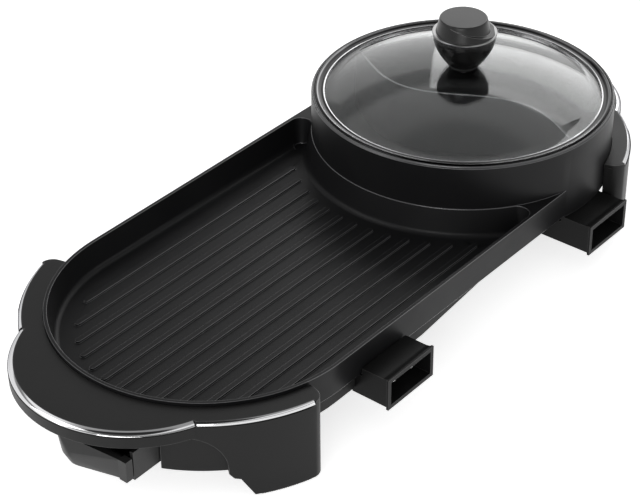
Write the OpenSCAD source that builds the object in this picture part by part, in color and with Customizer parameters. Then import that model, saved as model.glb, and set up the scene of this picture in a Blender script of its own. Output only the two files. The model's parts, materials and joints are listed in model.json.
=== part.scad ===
// Electric hot pot with a grill tray: one long cast pan on two handles with four legs,
// a round two-flavour pot at one end under a lift-off glass lid, and a pull-out drip cup
// at the other. +X runs from the grill to the pot, -Y is the side with the two plug-in
// sockets, +Z is up, and the origin is on the table in the middle of the whole outline.

/* [Pan] */
// Outer width of the grill tray at its rim
pan_w = 262; // [250:1:265]
// Distance from the axis of the tray's round end to the axis of the pot
axis_gap = 335; // [310:1:380]
// Height of the tray's rim above the table
rim_z = 76; // [74:0.5:86]
// Depth of the grill tray, from its rim to its floor
tray_depth = 24.5; // [22:0.5:26]
// Thickness of the cast walls at the rim
pan_wall = 3; // [2.5:0.1:4]
// How much further in the tray's walls stand at the floor than at the rim
wall_draft = 4; // [3:0.5:5]
// Thickness of the cast floors
floor_t = 3.5; // [3:0.1:4.5]
// Radius between the tray's floor and its walls
floor_fillet = 5; // [3:0.5:7]
// Radius of the tray's two inner corners beside the pot
corner_r = 10; // [8:0.5:12]
// Number of ribs on the grill floor
rib_count = 13; // [7:2:15]
// Distance from rib to rib
rib_pitch = 16.5; // [12:0.5:16.5]
// Width of a rib
rib_w = 5; // [3:0.5:7]
// Height of a rib
rib_h = 1.6; // [1:0.1:2.5]
// Radius of the drain hole in the grill floor
drain_r = 3.5; // [2.5:0.5:4]

/* [Pot] */
// Outer diameter of the pot
pot_d = 268; // [266:1:276]
// Height of the pot's rim above the tray's rim
pot_rise = 41; // [30:1:60]
// Depth of the pot
pot_depth = 71; // [66:1:74]
// Width of the pot's rim outside the lid
pot_lip = 2.6; // [2:0.1:4]
// Width of the ledge that the lid rests on
ledge_w = 2.2; // [1.5:0.1:3]
// Depth of the ledge below the rim
ledge_depth = 3; // [2:0.1:4]
// Radius between the pot's floor and its wall
pot_fillet = 12; // [8:1:15]
// Thickness of the S-shaped divider
divider_t = 2.4; // [2:0.1:4]
// Distance from the divider's top to the pot's rim
divider_drop = 8; // [7.5:0.5:20]
// How far the divider swings to each side of the pot's middle
divider_swing = 20; // [10:1:30]
// Length of one half wave of the divider
divider_wave = 108; // [100:1:118]

/* [Handles] */
// Radius of the two side lobes of a handle
handle_r = 151; // [149:0.5:158]
// Radius of the middle lobe
lobe_r = 100; // [98:1:104]
// Distance from the axis of the round end to the axis of the middle lobe
lobe_off = 81; // [78:1:86]
// Angle from the middle of a handle to its end
handle_end = 76; // [70:0.5:76]
// Radius of the corners at a handle's ends
handle_corner = 11; // [4:0.5:12]
// Distance from the handle's top down from the tray's rim
handle_drop = 3; // [2:0.5:5]
// Thickness of the moulded walls
shell = 3; // [2.5:0.1:3.5]
// Height of the middle lobe's short outer skirt
skirt_h = 13; // [8:1:16]
// Outer radius of the inner skirt
inner_skirt_r = 146; // [145:0.5:148]
// Height of the inner skirt's lower edge above the table
inner_skirt_z = 24; // [18:1:28]
// Depth of a leg, from its outer face inwards
leg_t = 10; // [9:0.5:12]
// Radius of the arch between the middle lobe and a leg
arch_r = 31; // [26:1:33]
// Thickness of the rubber foot pads
foot_t = 1.2; // [1:0.1:2]
// Width of the bright trim along the middle lobe
trim_w = 4; // [3:0.1:5]
// Width of the bright trim along a side lobe
side_trim_w = 2.5; // [2:0.1:3]
// Height of the bright trims
trim_h = 2.9; // [2.5:0.1:4]
// Shadow gap under the bright trims
trim_gap = 0.5; // [0.2:0.1:0.8]

/* [Sockets] */
// Width of a plug-in socket
socket_w = 55; // [50:1:60]
// Height of a plug-in socket
socket_h = 26; // [24:0.5:28]
// How far a socket stands out from the tray's wall
socket_reach = 26.5; // [20:0.5:34]
// Distance from the tray's round end axis to the middle of the grill's socket
socket_x = 52.5; // [40:0.5:70]
// Height of the top of the grill's socket below the tray's rim
socket_drop = 21; // [18:0.5:24]
// Thickness of the sockets' walls
socket_wall = 2.4; // [2:0.1:3]
// Width of the lip round a socket's mouth
socket_lip = 1.2; // [0.8:0.1:2]
// Radius of a terminal pin
pin_r = 3; // [2.5:0.1:3.2]
// Distance between the two terminal pins of a socket
pin_gap = 22; // [20:0.5:24]

/* [Drip cup] */
// Distance from the tray's middle to the drip cup's middle, towards the sockets
cup_offset = 27; // [20:1:30]
// Distance from the middle lobe's edge back to the drip cup's front
cup_setback = 15; // [13:0.5:17]
// Width of the drip cup
cup_w = 58; // [50:1:62]
// Length of the drip cup behind its front
cup_l = 68; // [60:1:70]
// Thickness of the drip cup's walls
cup_wall = 2; // [1.6:0.1:2.5]
// How far the cup's front bulges forward at its foot
cup_bulge = 7; // [4:0.5:8]

/* [Lid] */
// Height of the glass's crown above the pot's rim
lid_rise = 24; // [16:1:34]
// Thickness of the glass
glass_t = 4; // [3:0.5:5]
// Width of the glass's flat border
glass_border = 8; // [6:0.5:12]
// Largest diameter of the knob
knob_d = 56.6; // [48:0.2:64]
// Height of the knob
knob_h = 45; // [40:1:52]

/* [Hidden] */

// Small overlap of a cutting tool past the face it cuts
eps = 1;
// Gap between parts that only lie beside each other
gap = 0.3;
// Gap round a part that is let into another
fit_gap = 0.1;

pan_r = pan_w / 2;
pot_r = pot_d / 2;
reach = lobe_off + lobe_r;
floor_z = rim_z - tray_depth;
under_z = floor_z - floor_t;
tray_in_r = pan_r - pan_wall;
tray_floor_r = tray_in_r - wall_draft;
draft_slope = wall_draft / tray_depth;
pot_rim_z = rim_z + pot_rise;
pot_floor_z = pot_rim_z - pot_depth;
pot_under_z = pot_floor_z - floor_t;
seat_r = pot_r - pot_lip;
seat_z = pot_rim_z - ledge_depth;
pot_in_r = seat_r - ledge_w;
pot_foot_r = pot_in_r - pot_fillet / 2 + floor_t;
skirt_top_r = pot_r + 0.4;
skirt_foot_r = skirt_top_r + wall_draft;

// The sockets stand out on the near side only, so the long axis lies off the middle.
corner_back = handle_r - handle_corner;
corner_a = asin(handle_corner / corner_back);
handle_half_w = corner_back * sin(handle_end - corner_a) + handle_corner;
near_reach = pan_r + socket_reach + 0.5;
y_axis = (near_reach - handle_half_w) / 2;
x_tray = -axis_gap / 2;
x_pot = axis_gap / 2;

corner_y = tray_in_r - corner_r;
corner_x = -sqrt(pow(skirt_top_r + corner_r, 2) - pow(corner_y, 2));

// The drain hole lies over the drip cup, at the foot of the tray's front wall.
cup_y = -cup_offset;
drain_x = -sqrt(pow(tray_floor_r - floor_fillet - drain_r - 1, 2) - pow(cup_y, 2));
drain_boss_r = drain_r + 3.5;
drain_boss_h = 1.8;

handle_z = rim_z - handle_drop;
plate_under = handle_z - shell - 0.5;
notch_x = (lobe_r * lobe_r - handle_r * handle_r - lobe_off * lobe_off) / (2 * lobe_off);
notch_a = acos(-notch_x / handle_r);
lobe_half_a = acos((-notch_x - lobe_off) / lobe_r);
leg_in_r = handle_r - leg_t;
// The walls under a handle's top plate stand back from its edge by this much
wall_step = 0.06;
end_wall_t = shell + 0.3 * handle_corner;
end_wall_z = 12;
arch_a = 45;
arch_u = -27.5;
arch_z = 28;
lug_angles = [52, 66];
lug_r = 6.5;
lug_out = 7.5;
lug_t = 4;
lug_z = handle_z - 15;
screw_r = 1.7;
pilot_r = 1.75;
screw_hole_r = 2.3;
screw_head_r = 3.6;
screw_head_h = 2.6;

socket_top = rim_z - socket_drop;
pot_socket_top = under_z - 0.5;
socket_y = -(pan_r + socket_reach + 0.5);
grill_back_y = -(pan_r - 9);
pot_back_y = -(pot_r - 26);
heater_r = 3.3;
heater_z = under_z - 4.6;
pot_heater_z = pot_under_z - 4.6;
bend_r = 11;
grill_loop_r = 70;
grill_loop_l = 92;
pot_loop_r = 85;
insulator_r = 4.3;
sleeve_r = 3.8;
sleeve_bore = 3;
pin_recess = 8;
socket_screw_x = 20.5;
socket_screw_dz = 1;

cover_t = 1.2;
grill_cover_h = 14;
grill_cover_z = under_z - grill_cover_h;
grill_cover_r = pan_r - 6;
pot_cover_z = 22;
pot_cover_r = pot_r - 22;
boss_r = 5;
grill_bosses = [[-30, 100], [112, 100], [175, 92]];
pot_boss_pitch = 50;

cup_front_x = -(reach - cup_setback);
cup_back_x = cup_front_x + 8 + cup_l;
cup_top_z = under_z - drain_boss_h - 0.2;
cup_z = 32.3;
cup_front_top = 50.5;
cup_near_y = cup_y - cup_w / 2 - 2;
cup_far_y = cup_y + cup_w / 2 + 2;
rail_y = cup_w / 2 + 5.5;
rail_t = 3;
rail_z = cup_z - gap - 2;
rail_front_x = cup_front_x + 9;
rail_plate_l = 21;
rail_foot_x = -(pan_r - 13);
rail_foot_w = 12;
rail_screw_x = [rail_foot_x + 6, rail_foot_x + 24];
notch_half_w = rail_y + rail_t + 1;
notch_top_z = 56;

band_r = seat_r - 0.5;
glass_r = pot_in_r - 1.3;
glass_top = pot_rim_z - 1.8;
glass_low = glass_top - glass_t;
dome_r = glass_r - glass_border;
crown_z = pot_rim_z + lid_rise;
knob_z = crown_z + 1.2;
knob_r = knob_d / 2;
ring_z = knob_z + knob_h - 15;
ring_h = 1.6;
cap_z = ring_z + ring_h;
knob_top = knob_z + knob_h;
lid_hole_r = 3.2;

$fn = 96;

function arc(cx, cy, r, a0, a1, n) =
    [for (i = [0:n]) let (a = a0 + (a1 - a0) * i / n) [cx + r * cos(a), cy + r * sin(a)]];

// Point on a handle's circle, at an angle from the middle of the handle
function pol(r, a) = [-r * cos(a), r * sin(a)];

// ---------- places ----------

module at_tray() {
    translate([x_tray, y_axis, 0]) children();
}

module at_pot() {
    translate([x_pot, y_axis, 0]) children();
}

module at_rear() {
    at_pot() mirror([1, 0, 0]) children();
}

module both_sides() {
    children();
    mirror([0, 1, 0]) children();
}

// Part of a ring between two angles from the middle of a handle
module ring_sector(r0, r1, a0, a1, z0, z1) {
    rotate([0, 0, 180 - a1])
        rotate_extrude(angle = a1 - a0)
            translate([r0, z0])
                square([r1 - r0, z1 - z0]);
}

// A box with its ends given along each axis
module block(x0, x1, y0, y1, z0, z1) {
    translate([x0, y0, z0]) cube([x1 - x0, y1 - y0, z1 - z0]);
}

// ---------- cast pan ----------

// Half section of the tray from outside: radius and height
module tray_section() {
    polygon([[0, under_z], [pan_r - 2, under_z], [pan_r - 1, under_z + 1], [pan_r, rim_z], [0, rim_z]]);
}

// Half section of the tray's hollow, with its floor radius
module hollow_section() {
    tilt = atan(draft_slope);
    fillet_x = tray_floor_r + floor_fillet * (tan(tilt) - 1 / cos(tilt));
    polygon(concat([[0, floor_z]],
        arc(fillet_x, floor_z + floor_fillet, floor_fillet, -90, -tilt, 6),
        [[tray_in_r + eps * draft_slope, rim_z + eps], [0, rim_z + eps]]));
}

// Sweeps a half section round the tray's front end and back along both sides
module tray_sweep(length) {
    rotate([0, 0, 90])
        rotate_extrude(angle = 180)
            children(0);
    rotate([90, 0, 90])
        linear_extrude(length) {
            children(0);
            mirror([1, 0]) children(0);
        }
}

// The form of the pot inside the tray, with the radius at its foot
module pot_skirt() {
    rotate_extrude()
        polygon(concat(
            [[0, floor_z - eps], [skirt_foot_r + floor_fillet, floor_z - eps]],
            arc(skirt_foot_r + floor_fillet, floor_z + floor_fillet, floor_fillet, -90, -172, 5),
            [[skirt_top_r, rim_z], [skirt_top_r, rim_z + 3 * eps], [0, rim_z + 3 * eps]]));
}

// The hollow of the grill tray; its two rear corners are round
module tray_hollow() {
    difference() {
        union() {
            intersection() {
                translate([-axis_gap, 0, 0]) tray_sweep(axis_gap) hollow_section();
                translate([0, 0, floor_z - eps])
                    linear_extrude(tray_depth + 3 * eps)
                        polygon([[-2 * axis_gap, -pan_w], [corner_x, -pan_w], [corner_x, -corner_y],
                            [0, 0], [corner_x, corner_y], [corner_x, pan_w], [-2 * axis_gap, pan_w]]);
            }
            both_sides()
                translate([corner_x, corner_y, floor_z])
                    cylinder(h = tray_depth + eps, r1 = corner_r - wall_draft + 0.15,
                        r2 = corner_r + eps * draft_slope + 0.15);
        }
        pot_skirt();
    }
}

module grill_ribs() {
    near_end = tray_floor_r - floor_fillet - 2 * drain_r - 4;
    far_end = skirt_foot_r + floor_fillet + 8;
    for (i = [-(rib_count - 1) / 2:(rib_count - 1) / 2]) {
        y = i * rib_pitch;
        x0 = -sqrt(pow(near_end, 2) - pow(y, 2)) + rib_w / 2;
        x1 = axis_gap - sqrt(pow(far_end, 2) - pow(y, 2)) - rib_w / 2;
        translate([0, y, floor_z - 0.5]) {
            block(x0, x1, -rib_w / 2, rib_w / 2, 0, rib_h + 0.5);
            for (x = [x0, x1])
                translate([x, 0, 0]) cylinder(h = rib_h + 0.5, d = rib_w, $fn = 24);
        }
    }
}

// Lug on the outside of the pan that a handle is screwed to
module handle_lug(wall_r) {
    for (a = lug_angles)
        rotate([0, 0, 180 - a]) {
            translate([wall_r + lug_out, 0, lug_z]) cylinder(h = lug_t, r = lug_r, $fn = 32);
            block(wall_r - 1.5, wall_r + lug_out, -lug_r, lug_r, lug_z, lug_z + lug_t);
        }
}

module lug_holes(wall_r) {
    for (a = lug_angles)
        translate(pol(wall_r + lug_out, a))
            translate([0, 0, lug_z - eps]) cylinder(h = lug_t + 2 * eps, r = screw_hole_r, $fn = 32);
}

// Hollow of the pot: rounded at its foot, with the lid's ledge at its rim
module pot_hollow(inset) {
    rotate_extrude()
        polygon(concat([[0, pot_floor_z + inset]],
            arc(pot_in_r - pot_fillet, pot_floor_z + pot_fillet, pot_fillet - inset, -90, 0, 8),
            [[pot_in_r - inset, seat_z], [seat_r, seat_z], [seat_r, pot_rim_z + eps],
            [0, pot_rim_z + eps]]));
}

// Outside of the pot, with a small step round its rim
module pot_body() {
    rotate_extrude()
        polygon([[0, pot_under_z], [pot_foot_r - 4, pot_under_z], [pot_foot_r, pot_under_z + 4],
            [pot_foot_r, under_z], [pot_r - 1, under_z], [pot_r, under_z + 1],
            [pot_r, pot_rim_z - 1.4], [pot_r - 1, pot_rim_z - 1], [pot_r - 1.2, pot_rim_z],
            [0, pot_rim_z]]);
}

// Boss for a cover screw or a socket screw on the underside of the pan
module grill_boss(x, y) {
    translate([x, y, grill_cover_z + cover_t])
        cylinder(h = grill_cover_h - cover_t + 0.5, r = boss_r, $fn = 32);
}

module pot_boss(a) {
    rotate([0, 0, a])
        translate([pot_boss_pitch, 0, pot_cover_z + cover_t])
            cylinder(h = pot_under_z - pot_cover_z - cover_t + 0.5, r = boss_r, $fn = 32);
}

pot_boss_angles = [90, 210, 330];

module grill_boss_places() {
    for (p = grill_bosses)
        for (s = [-1, 1])
            translate([p[0], s * p[1], 0]) children();
}

module pot_boss_places() {
    for (a = pot_boss_angles)
        rotate([0, 0, a]) translate([pot_boss_pitch, 0, 0]) children();
}

module socket_bosses(back_y, top_z) {
    for (s = [-1, 1])
        block(s * socket_screw_x - 4, s * socket_screw_x + 4, back_y, back_y + 12,
            top_z - 9, top_z + 0.5);
}

module socket_screw_holes(back_y, top_z) {
    for (s = [-1, 1])
        translate([s * socket_screw_x, back_y - eps, top_z - 4.6])
            rotate([-90, 0, 0]) cylinder(h = 10 + eps, r = pilot_r, $fn = 24);
}

module rail_screw_places() {
    for (x = rail_screw_x)
        for (s = [-1, 1])
            translate([x, cup_y + s * (rail_y + rail_t + rail_foot_w / 2), 0]) children();
}

module cast_pan() {
    color([0.16, 0.16, 0.17])
    difference() {
        union() {
            difference() {
                at_tray() tray_sweep(axis_gap) tray_section();
                at_pot() tray_hollow();
            }
            at_pot() pot_body();
            at_tray() {
                grill_ribs();
                translate([drain_x, cup_y, under_z - drain_boss_h])
                    cylinder(h = drain_boss_h + 0.5, r = drain_boss_r, $fn = 48);
                both_sides() handle_lug(pan_r);
                grill_boss_places()
                    translate([0, 0, grill_cover_z + cover_t])
                        cylinder(h = grill_cover_h - cover_t + 0.5, r = boss_r, $fn = 32);
                translate([socket_x, 0, 0]) socket_bosses(grill_back_y, under_z);
            }
            at_rear() both_sides() handle_lug(pot_r);
            at_pot() {
                pot_boss_places()
                    translate([0, 0, pot_cover_z + cover_t])
                        cylinder(h = pot_under_z - pot_cover_z - cover_t + 0.5, r = boss_r, $fn = 32);
                socket_bosses(pot_back_y, pot_under_z);
            }
        }
        at_pot() pot_hollow(0);
        at_tray() {
            translate([drain_x, cup_y, under_z - drain_boss_h - eps])
                cylinder(h = floor_t + drain_boss_h + 2 * eps + rib_h, r = drain_r, $fn = 48);
            both_sides() lug_holes(pan_r);
            grill_boss_places()
                translate([0, 0, grill_cover_z])
                    cylinder(h = 11, r = pilot_r, $fn = 24);
            translate([socket_x, 0, 0]) socket_screw_holes(grill_back_y, under_z);
            rail_screw_places()
                translate([0, 0, under_z - eps]) cylinder(h = eps + 2.4, r = pilot_r, $fn = 24);
        }
        at_rear() both_sides() lug_holes(pot_r);
        at_pot() {
            pot_boss_places()
                translate([0, 0, pot_cover_z]) cylinder(h = 11, r = pilot_r, $fn = 24);
            socket_screw_holes(pot_back_y, pot_under_z);
        }
    }
}

// S-shaped wall that parts the pot in two
module pot_divider() {
    steps = 24;
    side = [for (i = [-steps:steps]) let (y = i / steps * pot_r)
        [-divider_swing * sin(180 * y / divider_wave), y]];
    color([0.22, 0.22, 0.23])
    at_pot()
        intersection() {
            translate([0, 0, pot_floor_z])
                linear_extrude(pot_depth - divider_drop)
                    polygon(concat([for (p = side) p - [divider_t / 2, 0]],
                        [for (i = [2 * steps:-1:0]) side[i] + [divider_t / 2, 0]]));
            pot_hollow(gap);
        }
}

// ---------- heaters, clips and covers ----------

module tube(length) {
    cylinder(h = length, r = heater_r, $fn = 32);
}

module tube_x(x0, x1, y) {
    translate([x0, y, 0]) rotate([0, 90, 0]) tube(x1 - x0);
}

module tube_y(y0, y1, x) {
    translate([x, y0, 0]) rotate([-90, 0, 0]) tube(y1 - y0);
}

module tube_arc(x, y, r, a0, a1) {
    translate([x, y, 0])
        rotate([0, 0, a0])
            rotate_extrude(angle = a1 - a0)
                translate([r, 0]) circle(r = heater_r, $fn = 32);
}

// Sheathed tube element under the grill: a long loop whose ends turn out to the socket
module grill_heater() {
    x_pin = pin_gap / 2;
    color([0.55, 0.55, 0.57])
    at_tray()
        translate([0, 0, heater_z]) {
            tube_arc(0, 0, grill_loop_r, 90, 270);
            tube_x(0, grill_loop_l, grill_loop_r);
            tube_arc(grill_loop_l, 0, grill_loop_r, -90, 90);
            tube_x(0, socket_x - x_pin - bend_r, -grill_loop_r);
            tube_x(socket_x + x_pin + bend_r, grill_loop_l, -grill_loop_r);
            tube_arc(socket_x - x_pin - bend_r, -grill_loop_r - bend_r, bend_r, 0, 90);
            tube_arc(socket_x + x_pin + bend_r, -grill_loop_r - bend_r, bend_r, 90, 180);
            for (s = [-1, 1])
                tube_y(grill_back_y + 6, -grill_loop_r - bend_r, socket_x + s * x_pin);
        }
}

// Ring element under the pot; short couplings join its ends to the bends
module pot_heater() {
    x_pin = pin_gap / 2;
    bend_x = x_pin + bend_r;
    bend_y = -sqrt(pow(pot_loop_r + bend_r, 2) - pow(bend_x, 2));
    bend_a = atan2(bend_y, bend_x);
    color([0.55, 0.55, 0.57])
    at_pot()
        translate([0, 0, pot_heater_z]) {
            tube_arc(0, 0, pot_loop_r, bend_a + 0.2, 179.8 - bend_a);
            tube_arc(bend_x, bend_y, bend_r, 181.5 + bend_a, 178.5);
            tube_arc(-bend_x, bend_y, bend_r, 1.5, -1.5 - bend_a);
            for (a = [bend_a, 180 - bend_a])
                rotate([0, 0, a])
                    translate([pot_loop_r, 2, 0])
                        rotate([90, 0, 0]) cylinder(h = 4, r = heater_r + 0.5, $fn = 32);
            for (s = [-1, 1])
                translate([s * x_pin, pot_back_y + 6, 0])
                    rotate([-90, 0, 0])
                        cylinder(h = bend_y + 2 - pot_back_y - 6, r = heater_r + 0.5, $fn = 32);
        }
}

// Saddle that holds a heater up against the pan, with the tube along X
module clip(z, top) {
    difference() {
        block(-5, 5, -8, 8, z - heater_r - 1.5, top);
        translate([-5 - eps, 0, z]) rotate([0, 90, 0])
            cylinder(h = 10 + 2 * eps, r = heater_r + fit_gap, $fn = 32);
    }
}

module grill_heater_clips() {
    color([0.7, 0.7, 0.72])
    at_tray() {
        for (x = [10, 80])
            translate([x, grill_loop_r, 0]) clip(heater_z, under_z);
        translate([5, -grill_loop_r, 0]) clip(heater_z, under_z);
        for (x = [-grill_loop_r, grill_loop_l + grill_loop_r])
            translate([x, 0, 0]) rotate([0, 0, 90]) ring_clip(grill_loop_r, heater_z, under_z);
    }
}

// Saddle over a bent stretch of tube, as wide as the bend needs
module ring_clip(r, z, top) {
    difference() {
        block(-4, 4, -9, 9, z - heater_r - 1.5, top);
        translate([-4 - eps, 0, z]) rotate([0, 90, 0])
            cylinder(h = 8 + 2 * eps, r = heater_r + 0.25, $fn = 32);
    }
}

module pot_heater_clips() {
    color([0.7, 0.7, 0.72])
    at_pot()
        for (a = [30, 150, 270 - 60, 270 + 60])
            rotate([0, 0, a])
                translate([pot_loop_r, 0, 0])
                    rotate([0, 0, 90]) ring_clip(pot_loop_r, pot_heater_z, pot_under_z);
}

// Plan of the grill's cover: it stops short of the drip cup and draws in towards the pot
module grill_cover_plan(inset) {
    r = grill_cover_r - inset;
    back = axis_gap - pot_r - 1;
    taper_x = back - 90;
    intersection() {
        polygon(concat(arc(0, 0, r, 90, 270, 48),
            [[taper_x, -r], [back - inset, 7 - r], [back - inset, r - 7], [taper_x, r]]));
        translate([cup_back_x + 6 + inset, -pan_w]) square([axis_gap + pan_w, 2 * pan_w]);
    }
}

module grill_cover() {
    color([0.12, 0.12, 0.12])
    at_tray()
        difference() {
            translate([0, 0, grill_cover_z])
                linear_extrude(grill_cover_h - gap) grill_cover_plan(0);
            translate([0, 0, grill_cover_z + cover_t])
                linear_extrude(grill_cover_h) grill_cover_plan(cover_t);
            grill_boss_places()
                translate([0, 0, grill_cover_z - eps])
                    cylinder(h = cover_t + 2 * eps, r = screw_hole_r, $fn = 24);
            block(socket_x - socket_w / 2 - 0.5, socket_x + socket_w / 2 + 0.5,
                -pan_w, grill_back_y + 0.5, grill_cover_z - eps, under_z + eps);
        }
}

module pot_cover() {
    color([0.12, 0.12, 0.12])
    at_pot()
        difference() {
            translate([0, 0, pot_cover_z])
                cylinder(h = pot_under_z - gap - pot_cover_z, r = pot_cover_r);
            translate([0, 0, pot_cover_z + cover_t])
                cylinder(h = pot_under_z, r = pot_cover_r - cover_t);
            pot_boss_places()
                translate([0, 0, pot_cover_z - eps])
                    cylinder(h = cover_t + 2 * eps, r = screw_hole_r, $fn = 24);
            block(-socket_w / 2 - 0.5, socket_w / 2 + 0.5, -pan_w, pot_back_y + 0.5,
                pot_cover_z - eps, pot_under_z + eps);
        }
}

// Pan-head screw pointing up, its head's seat at z = 0
module screw_up(length) {
    translate([0, 0, -screw_head_h])
        difference() {
            cylinder(h = screw_head_h, r = screw_head_r, $fn = 32);
            for (a = [0, 90])
                rotate([0, 0, a]) block(-2, 2, -0.4, 0.4, -eps, 1);
        }
    cylinder(h = length, r = screw_r, $fn = 24);
}

module grill_cover_screws() {
    color([0.75, 0.75, 0.77])
    at_tray() grill_boss_places() translate([0, 0, grill_cover_z]) screw_up(9);
}

module pot_cover_screws() {
    color([0.75, 0.75, 0.77])
    at_pot() pot_boss_places() translate([0, 0, pot_cover_z]) screw_up(9);
}

// ---------- plug-in sockets ----------

// Side profile of a socket: y and z, with a lip at the mouth and a hollow in its top
module socket_profile(z0, z1, back_y) {
    lip_y = socket_y + 2.2;
    cove = 5;
    polygon(concat([[socket_y, z0 - socket_lip], [lip_y, z0 - socket_lip], [lip_y, z0],
        [back_y, z0], [back_y, z1]],
        [for (i = [0:5]) let (t = i / 5) [lip_y + cove * (1 - t), z1 + socket_lip * t * t]],
        [[socket_y, z1 + socket_lip]]));
}

module socket_shroud(z1, back_y) {
    z0 = z1 - socket_h;
    half = socket_w / 2;
    difference() {
        union() {
            rotate([90, 0, 90])
                translate([0, 0, -half])
                    linear_extrude(socket_w) socket_profile(z0, z1, back_y);
            block(-half - socket_lip, half + socket_lip, socket_y, socket_y + 2.2,
                z0 - socket_lip, z1 + socket_lip);
        }
        block(-half + socket_wall, half - socket_wall, socket_y - eps, back_y - socket_wall,
            z0 + socket_wall, z1 - socket_wall);
    }
}

module shroud_holes(z, screw_z, back_y) {
    for (s = [-1, 1]) {
        translate([s * pin_gap / 2, back_y - 5, z])
            rotate([-90, 0, 0]) cylinder(h = 10, r = insulator_r + fit_gap, $fn = 32);
        translate([s * socket_screw_x, back_y - 5, screw_z])
            rotate([-90, 0, 0]) cylinder(h = 10, r = screw_hole_r, $fn = 24);
    }
    translate([0, back_y - 5, z])
        rotate([-90, 0, 0]) cylinder(h = 10, r = sleeve_r + fit_gap, $fn = 32);
}

module grill_socket_shroud() {
    color([0.11, 0.11, 0.11])
    at_tray()
        translate([socket_x, 0, 0])
            difference() {
                socket_shroud(socket_top, grill_back_y);
                block(-socket_w, socket_w, -pan_r - gap, 0, under_z - gap, rim_z);
                shroud_holes(heater_z, under_z - 4.6, grill_back_y);
            }
}

module pot_socket_shroud() {
    color([0.11, 0.11, 0.11])
    at_pot()
        difference() {
            socket_shroud(pot_socket_top, pot_back_y);
            difference() {
                block(-socket_w, socket_w, -pan_w, 0, pot_under_z - gap, rim_z);
                block(-socket_w, socket_w, -pan_w, -pot_foot_r - gap, 0, rim_z);
            }
            shroud_holes(pot_heater_z, pot_under_z - 4.6, pot_back_y);
        }
}

// Two round pins, thinner where they pass through their insulators
module terminal_pins(z, back_y) {
    for (s = [-1, 1])
        translate([s * pin_gap / 2, 0, z])
            rotate([90, 0, 0]) {
                translate([0, 0, -back_y - 6]) cylinder(h = 13.5, r = pin_r - 0.4, $fn = 48);
                translate([0, 0, -back_y + 7.5])
                    cylinder(h = -socket_y - pin_recess + back_y - 9.5, r = pin_r, $fn = 48);
                translate([0, 0, -socket_y - pin_recess - 2])
                    cylinder(h = 2, r1 = pin_r, r2 = pin_r - 1.2, $fn = 48);
            }
}

module grill_terminal_pins() {
    color([0.8, 0.8, 0.8])
    at_tray() translate([socket_x, 0, 0]) terminal_pins(heater_z, grill_back_y);
}

module pot_terminal_pins() {
    color([0.8, 0.8, 0.8])
    at_pot() terminal_pins(pot_heater_z, pot_back_y);
}

module pin_insulators(z, back_y) {
    for (s = [-1, 1])
        translate([s * pin_gap / 2, back_y, z])
            rotate([90, 0, 0])
                difference() {
                    translate([0, 0, -2]) cylinder(h = 9, r = insulator_r, $fn = 48);
                    translate([0, 0, -2 - eps]) cylinder(h = 9 + 2 * eps, r = pin_r - 0.4 + fit_gap, $fn = 48);
                }
}

module grill_pin_insulators() {
    color([0.93, 0.91, 0.86])
    at_tray() translate([socket_x, 0, 0]) pin_insulators(heater_z, grill_back_y);
}

module pot_pin_insulators() {
    color([0.93, 0.91, 0.86])
    at_pot() pin_insulators(pot_heater_z, pot_back_y);
}

// Blind tube that takes the controller's probe
module probe_sleeve(z, back_y, length) {
    translate([0, back_y, z])
        rotate([-90, 0, 0])
            difference() {
                translate([0, 0, -socket_wall - 2]) cylinder(h = length + socket_wall + 2, r = sleeve_r, $fn = 48);
                translate([0, 0, -socket_wall - 2 - eps])
                    cylinder(h = length + socket_wall + 1 + eps, r = sleeve_bore, $fn = 48);
            }
}

module grill_probe_sleeve() {
    color([0.8, 0.8, 0.8])
    at_tray() translate([socket_x, 0, 0]) probe_sleeve(heater_z, grill_back_y, 55);
}

module pot_probe_sleeve() {
    color([0.8, 0.8, 0.8])
    at_pot() probe_sleeve(pot_heater_z, pot_back_y, 55);
}

module socket_screws(back_y, screw_z) {
    for (s = [-1, 1])
        translate([s * socket_screw_x, back_y - socket_wall, screw_z])
            rotate([-90, 0, 0]) screw_up(11);
}

module grill_socket_screws() {
    color([0.75, 0.75, 0.77])
    at_tray() translate([socket_x, 0, 0]) socket_screws(grill_back_y, under_z - 4.6);
}

module pot_socket_screws() {
    color([0.75, 0.75, 0.77])
    at_pot() socket_screws(pot_back_y, pot_under_z - 4.6);
}

// ---------- handles ----------

// Cuts the outer corner at the end of a handle to a radius
module corner_cut() {
    side_a = handle_end - corner_a;
    c = pol(corner_back + 0.1, side_a + 0.04);
    a0 = 180 - side_a + 4;
    a1 = 90 - handle_end - 4;
    mid = (a0 + a1) / 2;
    translate([0, 0, -eps])
        linear_extrude(handle_z + 2 * eps)
            polygon(concat(arc(c[0], c[1], handle_corner, a0, a1, 9),
                [c + 30 * [cos(a1), sin(a1)], c + 45 * [cos(mid), sin(mid)],
                c + 30 * [cos(a0), sin(a0)]]));
}

// What is open beside and under a leg, seen from outside: along the wall and up
module arch_opening(grow) {
    foot_u = 23.3;
    translate([arch_u, arch_z]) circle(r = arch_r + grow);
    polygon([[-90, -10], [foot_u + 4 + grow, -10], [foot_u + grow, 0], [foot_u - 11 + grow, 18],
        [foot_u - 16 + grow, 19.5], [arch_u + arch_r + grow, 24], [arch_u + arch_r + grow, arch_z],
        [arch_u, arch_z], [arch_u, arch_z + arch_r + grow], [-90, arch_z + arch_r + grow]]);
}

module arch_prism(grow) {
    rotate([0, 0, 180 - arch_a])
        translate([120, 0, 0])
            rotate([90, 0, 90])
                linear_extrude(60) mirror([1, 0]) arch_opening(grow);
}

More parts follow.
